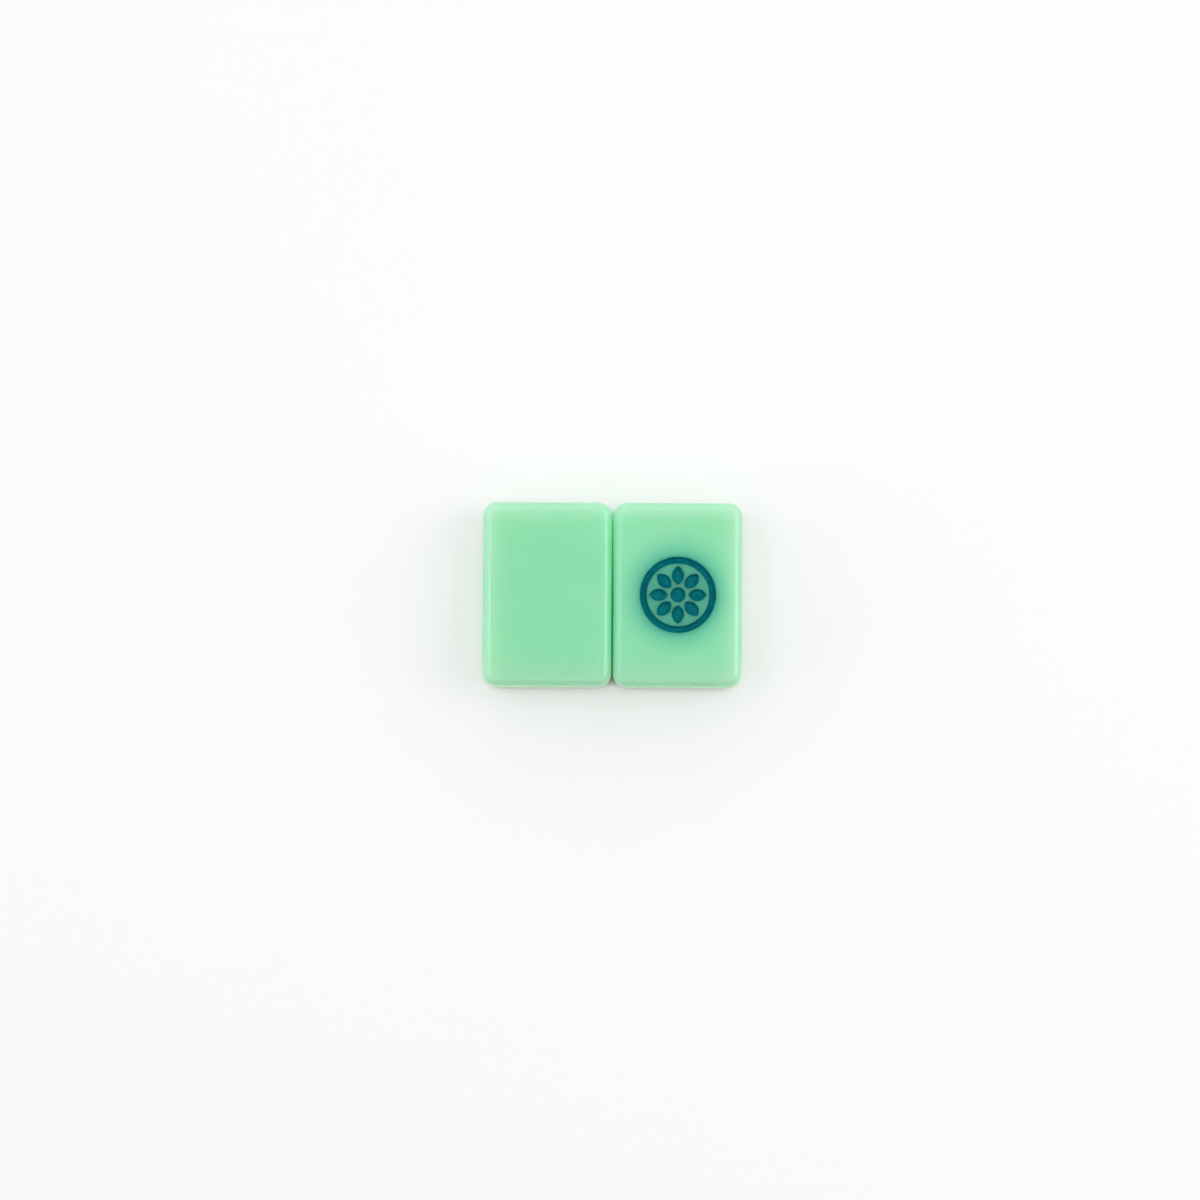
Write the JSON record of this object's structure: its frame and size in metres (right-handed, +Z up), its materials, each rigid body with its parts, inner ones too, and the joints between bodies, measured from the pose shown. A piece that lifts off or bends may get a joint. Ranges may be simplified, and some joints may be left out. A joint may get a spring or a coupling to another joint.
{
  "type": "mahjong tile",
  "caption": "Mahjong tiles lying side by side: solid mint resin blocks with rolled edges, a plain tile beside a tile engraved with an enamelled circle and rosette.",
  "frame": {"origin": "on the table, midway between the tiles and at the middle of their length", "axes": "+Z up from the table to the faces, +X from the plain tile to the engraved tile, +Y along the tiles to the head of the engraved figure"},
  "size_m": [0.0442, 0.0314, 0.013],
  "materials": {
    "resin": "polished mint resin, slightly translucent",
    "enamel": "glossy dark teal enamel"
  },
  "bodies": {
    "engraved_tile": {"engraved_tile": "resin", "ring_enamel": "enamel", "eye_enamel": "enamel", "petal_enamel_1": "enamel", "petal_enamel_2": "enamel", "petal_enamel_3": "enamel", "petal_enamel_4": "enamel", "petal_enamel_5": "enamel", "petal_enamel_6": "enamel", "petal_enamel_7": "enamel", "petal_enamel_8": "enamel"},
    "plain_tile": {"plain_tile": "resin"}
  },
  "joints": [
    {"name": "plain_tile_slide", "type": "slide", "parent": "engraved_tile", "child": "plain_tile", "axis": [-1, 0, 0], "range_m": [0, 0.03]}
  ]
}
